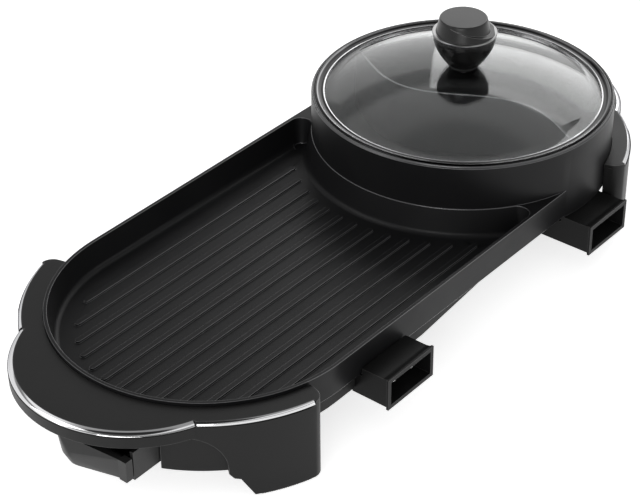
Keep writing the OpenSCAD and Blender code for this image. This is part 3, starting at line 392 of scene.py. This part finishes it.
# %% Moulded plastics and rubber
finishes["handle_plastic"] = drifting_finish(
    "handle_plastic", ((0.009, 0.009, 0.009), (0.012, 0.012, 0.012)), (0.36, 0.46), 1100, 0.00004,
    shine=0.2)
finishes["socket_plastic"] = drifting_finish(
    "socket_plastic", ((0.006, 0.006, 0.006), (0.009, 0.009, 0.009)), (0.34, 0.44), 1000, 0.00004,
    shine=0.14)
finishes["cup_plastic"] = drifting_finish(
    "cup_plastic", ((0.012, 0.012, 0.012), (0.018, 0.018, 0.018)), (0.30, 0.4), 900, 0.00003,
    shine=0.35)
finishes["foot_rubber"] = drifting_finish(
    "foot_rubber", ((0.010, 0.010, 0.010), (0.018, 0.018, 0.018)), (0.75, 0.9), 500, 0.0001,
    shine=0.2)
finishes["washer_rubber"] = drifting_finish(
    "washer_rubber", ((0.014, 0.014, 0.014), (0.02, 0.02, 0.02)), (0.6, 0.8), 700, 0.00006,
    shine=0.2)
finishes["knob_gloss"] = drifting_finish(
    "knob_gloss", ((0.004, 0.004, 0.004), (0.006, 0.006, 0.006)), (0.08, 0.14), 500, 0.000004,
    shine=0.5)
finishes["knob_satin"] = drifting_finish(
    "knob_satin", ((0.006, 0.006, 0.006), (0.009, 0.009, 0.009)), (0.26, 0.34), 900, 0.000004,
    shine=0.3)

# %% Rounded edges: spray and mould leave a smoother skin there, and the paler colour is a painted highlight
finishes["coated_edge_highlight"] = drifting_finish(
    "coated_edge_highlight", ((0.055, 0.055, 0.057), (0.075, 0.075, 0.078)), (0.2, 0.28), 1400, 0.00001,
    shine=0.8)
finishes["moulded_edge_highlight"] = drifting_finish(
    "moulded_edge_highlight", ((0.030, 0.030, 0.030), (0.040, 0.040, 0.040)), (0.26, 0.34), 1100, 0.00001,
    shine=0.5)
finishes["satin_edge_highlight"] = drifting_finish(
    "satin_edge_highlight", ((0.08, 0.08, 0.08), (0.10, 0.10, 0.10)), (0.24, 0.3), 900, 0.000004, shine=0.6)
print("black finishes", len(finishes))

# %% [markdown]
# ## The metals and the ceramic
#
# Chrome is nearly a mirror: a high, neutral base colour, full metal weight and very little
# roughness; its edge-on reflection is tinted dark, which paints a dark outline. Screws and
# clips have a duller zinc. The heater's sheath has seen heat and is brown grey. A small
# function multiplies a finish's colour along a measured value. Here it measures height, and
# paints shade on the trims' lowest edge, where the real strip tucks into the moulding.

# %% Metals
def paint_shade_and_reflection(material, measure, places, levels):
    """Multiplies a finish's colour by levels that change at places along a measured value; it
    paints shade and reflection.
    """
    tree = material.node_tree
    shader = tree.nodes["Principled BSDF"]
    if measure == "Z":
        split = node(tree, "ShaderNodeSeparateXYZ", (-1000, 600))
        tree.links.new(tree.nodes["Texture Coordinate"].outputs["Object"], split.inputs[0])
        measure = split.outputs["Z"]
    first, last = places[0], places[-1]
    spread = node(tree, "ShaderNodeMapRange", (-800, 600),
                  inputs={"From Min": first, "From Max": last})
    ramp = node(tree, "ShaderNodeValToRGB", (-600, 600))
    for k, (place, level) in enumerate(zip(places, levels)):
        at = (place - first) / (last - first)
        stop = ramp.color_ramp.elements[k] if k < 2 else ramp.color_ramp.elements.new(at)
        stop.position = at
        stop.color = (level, level, level, 1)
    shade = node(tree, "ShaderNodeMix", (-50, 450), inputs={"Factor": 1.0},
                 props={"data_type": "RGBA", "blend_type": "MULTIPLY"})
    colour = shader.inputs["Base Color"].links[0].from_socket
    tree.links.new(measure, spread.inputs["Value"])
    tree.links.new(spread.outputs[0], ramp.inputs[0])
    tree.links.new(colour, shade.inputs[6])
    tree.links.new(ramp.outputs[0], shade.inputs[7])
    tree.links.new(shade.outputs[2], shader.inputs["Base Color"])


TRIM_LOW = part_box("front_trim_middle")[0][2]
EDGE_ON_PAINTED_SHADE = (0.12, 0.12, 0.13, 1)
finishes["bright_trim"] = drifting_finish(
    "bright_trim", ((0.80, 0.80, 0.81), (0.86, 0.86, 0.87)), (0.06, 0.12), 900, 0.000004,
    metal=1.0)
# The trim's lowest 0.3 mm is painted nearly black: a painted shade line along its lower edge.
paint_shade_and_reflection(finishes["bright_trim"], "Z",
               (TRIM_LOW, TRIM_LOW + 0.0001, TRIM_LOW + 0.0003), (0.02, 0.05, 1))
# The chrome's edge-on reflection is tinted dark: a painted dark outline, not the metal's own
# colour.
trim_shader = finishes["bright_trim"].node_tree.nodes["Principled BSDF"]
trim_shader.inputs["Specular Tint"].default_value = EDGE_ON_PAINTED_SHADE
finishes["pin_metal"] = drifting_finish(
    "pin_metal", ((0.70, 0.70, 0.70), (0.78, 0.78, 0.78)), (0.15, 0.25), 900, 0.000006, metal=1.0)
finishes["zinc_steel"] = drifting_finish(
    "zinc_steel", ((0.50, 0.50, 0.51), (0.62, 0.62, 0.63)), (0.3, 0.42), 900, 0.00002, metal=1.0)
finishes["heater_sheath"] = drifting_finish(
    "heater_sheath", ((0.20, 0.17, 0.14), (0.33, 0.31, 0.29)), (0.4, 0.55), 600, 0.00003, cloud=30,
    metal=1.0)
finishes["insulator_ceramic"] = drifting_finish(
    "insulator_ceramic", ((0.80, 0.77, 0.70), (0.86, 0.84, 0.79)), (0.45, 0.6), 800, 0.00004,
    shine=0.5)

# %% [markdown]
# The lid's steel band was rolled and polished on a turning wheel, so very fine lines run round
# it. Its bump reads the distance from the pot's axis, which the group of turned lines measures.
# The same distance sets how dark the colour is, as a painted reflection: a white bead inside, a
# black groove, a grey bead and a black outer edge. The knob's ring is a duller steel of its own.

# %% Polished steel band
BAND_RADIUS = (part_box("lid_rim_band")[1][0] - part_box("lid_rim_band")[0][0]) / 2
BAND_STEPS = (0.0090, 0.0077, 0.0072, 0.0056, 0.0032, 0.0028, 0.0021, 0.0015, 0.0)
BAND_PAINTED_REFLECTION = (0.8, 0.8, 0.03, 0.02, 0.03, 0.22, 0.22, 0.03, 0.02)
rim_steel = drifting_finish(
    "rim_steel", ((0.76, 0.76, 0.77), (0.84, 0.84, 0.85)), (0.08, 0.16), 900, 0.000004, metal=1.0)
tree = rim_steel.node_tree
place = tree.nodes["Texture Coordinate"]
lines = node(tree, "ShaderNodeGroup", (-800, -450), props={"node_tree": turned_group},
             inputs={"Centre X": POT_X, "Centre Y": AXIS_Y, "Scale": 2600.0})
tree.links.new(place.outputs["Object"], lines.inputs["Vector"])
tree.links.new(lines.outputs["Height"], tree.nodes["Bump"].inputs["Height"])
tree.nodes["Bump"].inputs["Distance"].default_value = 0.00001
# Bright and dark rings painted by radius: a painted reflection on the band.
paint_shade_and_reflection(rim_steel, lines.outputs["Radius"],
               [BAND_RADIUS - step for step in BAND_STEPS], BAND_PAINTED_REFLECTION)
finishes["rim_steel"] = rim_steel
finishes["ring_satin"] = drifting_finish(
    "ring_satin", ((0.30, 0.30, 0.30), (0.36, 0.36, 0.36)), (0.26, 0.34), 900, 0.000004, metal=1.0)

# %% [markdown]
# ## The glass
#
# The lid is clear tempered glass with the faintest grey cast. It is a closed shell 4 mm
# thick, so the renderer bends light where it enters and leaves. A little smear of uneven
# polish keeps its reflections from looking like a computer's.

# %% Glass
glass = bpy.data.materials.new("lid_glass")
glass.use_nodes = True
tree = glass.node_tree
shader = tree.nodes["Principled BSDF"]
shader.inputs["Base Color"].default_value = (0.93, 0.95, 0.95, 1)
shader.inputs["Metallic"].default_value = 0
shader.inputs["Transmission Weight"].default_value = 1
shader.inputs["IOR"].default_value = 1.47
place = node(tree, "ShaderNodeTexCoord", (-700, 0))
smear = node(tree, "ShaderNodeGroup", (-400, 0), props={"node_tree": cloud_group},
             inputs={"Scale": 22.0, "Low": 0.0, "High": 0.03})
tree.links.new(place.outputs["Object"], smear.inputs["Vector"])
tree.links.new(smear.outputs[0], shader.inputs["Roughness"])
finishes["lid_glass"] = glass
print("finishes", sorted(finishes))

# %% [markdown]
# ## Dressing the CAD nodes
#
# Each CAD node says in the record which material slot it belongs to, so one loop dresses them
# all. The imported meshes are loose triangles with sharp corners. Real castings and mouldings
# never have a perfectly sharp corner, so some modifiers follow. Weld joins the triangles. Bevel
# rounds every edge that turns by more than a set angle. Its overlap guard is off, because one
# short edge anywhere would make it round nothing at all, and so the rounding has to stay
# small. A small node tree shades the result smoothly except across what is still sharp.
# Weighted Normal then lets the large flat faces rule their own shading, so that a bevel doesn't
# smear over them. The vertices of the CAD mesh stay as they are.

# %% Smooth shading as a geometry node tree
def smooth_tree(limit_degrees):
    made = bpy.data.node_groups.new("smooth_below_angle", "GeometryNodeTree")
    made.interface.new_socket("Geometry", in_out="INPUT", socket_type="NodeSocketGeometry")
    limit = made.interface.new_socket("Angle", in_out="INPUT", socket_type="NodeSocketFloat")
    limit.default_value = math.radians(limit_degrees)
    made.interface.new_socket("Geometry", in_out="OUTPUT", socket_type="NodeSocketGeometry")
    given = node(made, "NodeGroupInput", (-600, 0))
    faces = node(made, "GeometryNodeSetShadeSmooth", (-200, 100), props={"domain": "FACE"})
    angle = node(made, "GeometryNodeInputMeshEdgeAngle", (-600, -200))
    sharp = node(made, "FunctionNodeCompare", (-400, -200), props={"operation": "GREATER_THAN"})
    edges = node(made, "GeometryNodeSetShadeSmooth", (0, 100), props={"domain": "EDGE"})
    edges.inputs["Shade Smooth"].default_value = False
    out = node(made, "NodeGroupOutput", (200, 0))
    made.links.new(given.outputs["Geometry"], faces.inputs["Geometry"])
    made.links.new(angle.outputs["Unsigned Angle"], sharp.inputs[0])
    made.links.new(given.outputs["Angle"], sharp.inputs[1])
    made.links.new(faces.outputs[0], edges.inputs["Geometry"])
    made.links.new(sharp.outputs[0], edges.inputs["Selection"])
    made.links.new(edges.outputs[0], out.inputs[0])
    return made


smooth_below = smooth_tree(32)

# %% Dress every node
slot_of = {s["node"]: s["material_slot"] for s in frame["record"]["subparts"]}
EDGE_ROUNDING = {
    "front_handle": 0.00045, "rear_handle": 0.00045, "cast_pan": 0.0004, "drip_cup": 0.0003,
    "grill_socket_shroud": 0.0002, "pot_socket_shroud": 0.0002, "cup_rails": 0.0002,
    "pot_divider": 0.00025, "grill_cover": 0.00015, "pot_cover": 0.00015, "knob_cap": 0.00025,
}
EDGE_HIGHLIGHT_FINISH = {
    "cast_pan": "coated_edge_highlight", "pot_divider": "coated_edge_highlight", "front_handle": "moulded_edge_highlight",
    "rear_handle": "moulded_edge_highlight", "drip_cup": "moulded_edge_highlight", "cup_rails": "moulded_edge_highlight",
    "grill_socket_shroud": "moulded_edge_highlight", "pot_socket_shroud": "moulded_edge_highlight",
    "knob_cap": "satin_edge_highlight",
}
DULLER_THAN_SLOT = {"knob_ring": "ring_satin"}
for name, thing in frame["nodes"].items():
    thing.data.materials.clear()
    thing.data.materials.append(finishes[DULLER_THAN_SLOT.get(name, slot_of[name])])
    weld = thing.modifiers.new("join_triangles", "WELD")
    weld.merge_threshold = 0.0001
    if name in EDGE_ROUNDING:
        bevel = thing.modifiers.new("rounded_edges", "BEVEL")
        bevel.use_clamp_overlap = False
        bevel.width = EDGE_ROUNDING[name]
        bevel.segments = 2
        bevel.limit_method = "ANGLE"
        bevel.angle_limit = math.radians(40)
        # The bevels take the paler edge finish, which paints a highlight along every rounded edge.
        if name in EDGE_HIGHLIGHT_FINISH:
            thing.data.materials.append(finishes[EDGE_HIGHLIGHT_FINISH[name]])
            bevel.material = 1
    shading = thing.modifiers.new("smooth_shading", "NODES")
    shading.node_group = smooth_below
    if name in EDGE_ROUNDING:
        flatter = thing.modifiers.new("flat_faces_first", "WEIGHTED_NORMAL")
        flatter.keep_sharp = True
print("dressed", len(frame["nodes"]), "nodes")

# %% [markdown]
# ## Ridged rubber feet
#
# Each leg stands on a thin rubber pad that is ridged across, so that it grips a wet table. The
# ridges repeat along an arc, which is work for Geometry Nodes: a row of points is bent
# round a centre, a small bar is put on each point, and the bars are made real. The tree has named
# inputs, so one tree serves all four pads. The same function also builds a second tree, with a
# dome in place of the bar, for the vents of the covers.

# %% A tree that sets small shapes round a centre
def ring_tree(name, unit):
    """Puts bars or domes on points round a centre. unit is bar or dome."""
    made = bpy.data.node_groups.new(name, "GeometryNodeTree")
    for label, kind in (("Centre", "Vector"), ("Count", "Int"), ("Radius", "Float"),
                        ("Start", "Float"), ("Step", "Float"), ("Unit Size", "Vector"),
                        ("Finish", "Material")):
        made.interface.new_socket(label, in_out="INPUT", socket_type="NodeSocket" + kind)
    made.interface.new_socket("Geometry", in_out="OUTPUT", socket_type="NodeSocketGeometry")
    given = node(made, "NodeGroupInput", (-1200, 0))
    points = node(made, "GeometryNodePoints", (-600, 200))
    index = node(made, "GeometryNodeInputIndex", (-1200, -300))
    angle = node(made, "ShaderNodeMath", (-1000, -200), props={"operation": "MULTIPLY_ADD"})
    cosine = node(made, "ShaderNodeMath", (-800, -100), props={"operation": "COSINE"})
    sine = node(made, "ShaderNodeMath", (-800, -250), props={"operation": "SINE"})
    around = node(made, "ShaderNodeCombineXYZ", (-600, -100))
    scaled = node(made, "ShaderNodeVectorMath", (-400, -100), props={"operation": "SCALE"})
    moved = node(made, "ShaderNodeVectorMath", (-200, -100), props={"operation": "ADD"})
    turned = node(made, "ShaderNodeCombineXYZ", (-400, -350))
    euler = node(made, "FunctionNodeEulerToRotation", (-200, -350))
    if unit == "bar":
        shape = node(made, "GeometryNodeMeshCube", (-400, 400))
    else:
        shape = node(made, "GeometryNodeMeshUVSphere", (-400, 400),
                     inputs={"Segments": 16, "Rings": 8, "Radius": 0.5})
    put = node(made, "GeometryNodeInstanceOnPoints", (0, 200))
    real = node(made, "GeometryNodeRealizeInstances", (200, 200))
    paint = node(made, "GeometryNodeSetMaterial", (400, 200))
    out = node(made, "NodeGroupOutput", (600, 200))
    link = made.links.new
    link(given.outputs["Count"], points.inputs["Count"])
    link(index.outputs[0], angle.inputs[0])
    link(given.outputs["Step"], angle.inputs[1])
    link(given.outputs["Start"], angle.inputs[2])
    link(angle.outputs[0], cosine.inputs[0])
    link(angle.outputs[0], sine.inputs[0])
    link(cosine.outputs[0], around.inputs[0])
    link(sine.outputs[0], around.inputs[1])
    link(around.outputs[0], scaled.inputs[0])
    link(given.outputs["Radius"], scaled.inputs["Scale"])
    link(scaled.outputs[0], moved.inputs[0])
    link(given.outputs["Centre"], moved.inputs[1])
    link(moved.outputs[0], points.inputs["Position"])
    link(angle.outputs[0], turned.inputs[2])
    link(turned.outputs[0], euler.inputs[0])
    link(points.outputs[0], put.inputs["Points"])
    link(shape.outputs["Mesh"], put.inputs["Instance"])
    link(euler.outputs[0], put.inputs["Rotation"])
    link(given.outputs["Unit Size"], put.inputs["Scale"])
    link(put.outputs[0], real.inputs[0])
    link(real.outputs[0], paint.inputs["Geometry"])
    link(given.outputs["Finish"], paint.inputs["Material"])
    link(paint.outputs[0], out.inputs[0])
    return made


def grown(name, tree, **values):
    """Runs a geometry tree and gives back a plain mesh object."""
    holder = bpy.data.objects.new(name, bpy.data.meshes.new(name))
    scene.collection.objects.link(holder)
    run = holder.modifiers.new("grow", "NODES")
    run.node_group = tree
    for item in tree.interface.items_tree:
        if item.in_out == "INPUT" and item.name in values:
            run[item.identifier] = values[item.name]
    depsgraph = bpy.context.evaluated_depsgraph_get()
    plain = bpy.data.meshes.new_from_object(holder.evaluated_get(depsgraph))
    holder.modifiers.clear()
    holder.data = plain
    holder.data.name = name
    return holder


ridge_tree = ring_tree("ridges_round_a_centre", "bar")
vent_tree = ring_tree("vents_round_a_centre", "dome")
print("trees", ridge_tree.name, vent_tree.name)

# %% Make the ridged pads
def ring_slab(bm, cx, cy, r0, r1, a0, a1, z0, z1, steps=24):
    """A closed slab that follows an arc, with its angles in radians."""
    rows = []
    for i in range(steps + 1):
        a = a0 + (a1 - a0) * i / steps
        c, s = math.cos(a), math.sin(a)
        rows.append([bm.verts.new((cx + r * c, cy + r * s, z))
                     for r, z in ((r0, z0), (r1, z0), (r1, z1), (r0, z1))])
    for one, two in zip(rows, rows[1:]):
        for k in range(4):
            bm.faces.new((one[k], one[(k + 1) % 4], two[(k + 1) % 4], two[k]))
    bm.faces.new(rows[0][::-1])
    bm.faces.new(rows[-1])


def finish_mesh(bm, name, finish, body, bevel=0.0):
    """Turns a bmesh into a piece at the origin that rides on a body."""
    bmesh.ops.remove_doubles(bm, verts=bm.verts, dist=1e-6)
    bmesh.ops.recalc_face_normals(bm, faces=bm.faces)
    mesh = bpy.data.meshes.new(name)
    bm.to_mesh(mesh)
    bm.free()
    made = bpy.data.objects.new(name, mesh)
    scene.collection.objects.link(made)
    mesh.materials.append(finishes[finish])
    if bevel:
        rounding = made.modifiers.new("rounded_edges", "BEVEL")
        rounding.width, rounding.segments = bevel, 2
        rounding.limit_method, rounding.angle_limit = "ANGLE", math.radians(35)
    shading = made.modifiers.new("smooth_shading", "NODES")
    shading.node_group = smooth_below
    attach(made, body)
    return made


PAD_IN, PAD_OUT = 0.142, 0.150
PAD_FROM, PAD_TO = math.radians(55.5), math.radians(71.1)
PAD_LOW, PAD_HIGH = 0.0004, 0.0012
RIDGES, RIDGE_MARGIN, RIDGE_Z = 22, 0.006, 0.00028
RIDGE_SIZE = (0.0076, 0.0009, 0.00055)
for end, cx, flip in (("front", TRAY_X, 1), ("rear", POT_X, -1)):
    slab = bmesh.new()
    for side in (1, -1):
        a0, a1 = sorted(((math.pi - side * PAD_FROM), (math.pi - side * PAD_TO)))
        if flip < 0:
            a0, a1 = sorted((side * PAD_FROM, side * PAD_TO))
        ring_slab(slab, cx, AXIS_Y, PAD_IN, PAD_OUT, a0, a1, PAD_LOW, PAD_HIGH)
        ridges = grown(f"{end}_pad_ridges_{'far' if side > 0 else 'near'}", ridge_tree,
                       Centre=(cx, AXIS_Y, RIDGE_Z), Count=RIDGES,
                       Radius=(PAD_IN + PAD_OUT) / 2, Start=a0 + RIDGE_MARGIN,
                       Step=(a1 - a0 - 2 * RIDGE_MARGIN) / (RIDGES - 1),
                       Finish=finishes["foot_rubber"], **{"Unit Size": RIDGE_SIZE})
        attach(ridges, "base")
    pads = finish_mesh(slab, f"{end}_ridged_pads", "foot_rubber", "base")
    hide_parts(f"{end}_foot_pads")
    print(pads.name, len(ridges.data.polygons), "faces in one set of ridges")

# %% [markdown]
# ## Vents in the covers
#
# Sheet covers keep fingers off the hot tubes, and rows of small pressed vents let the air
# through. They are low domes pressed outwards. Two rings of them sit on the round cover,
# and three short arcs on the long one.

# %% Press the vents
VENT_SIZE = (0.011, 0.0042, 0.0018)
POT_VENT_Z, GRILL_VENT_Z = 0.0220, 0.0340
POT_VENT_START, GRILL_VENT_SHIFT, GRILL_VENT_SWEEP = 0.1, 0.02, math.radians(120)
for ring, (count, radius) in enumerate(((18, 0.074), (24, 0.094))):
    vents = grown(f"pot_cover_vents_{ring}", vent_tree, Centre=(POT_X, AXIS_Y, POT_VENT_Z),
                  Count=count, Radius=radius, Start=POT_VENT_START, Step=math.tau / count,
                  Finish=finishes["cover_enamel"], **{"Unit Size": VENT_SIZE})
    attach(vents, "base")
for row, reach in enumerate((0.060, 0.085, 0.110)):
    count = 9 + 2 * row
    vents = grown(f"grill_cover_vents_{row}", vent_tree,
                  Centre=(TRAY_X + GRILL_VENT_SHIFT, AXIS_Y, GRILL_VENT_Z), Count=count,
                  Radius=reach, Start=-GRILL_VENT_SWEEP / 2,
                  Step=GRILL_VENT_SWEEP / (count - 1), Finish=finishes["cover_enamel"],
                  **{"Unit Size": VENT_SIZE})
    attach(vents, "base")
print("vents pressed")

# %% [markdown]
# ## Colour handling
#
# The Standard view shows a colour about as it is written, which makes it easy to compare a
# render with a photograph.

# %% View transform
scene.view_settings.view_transform = "Standard"
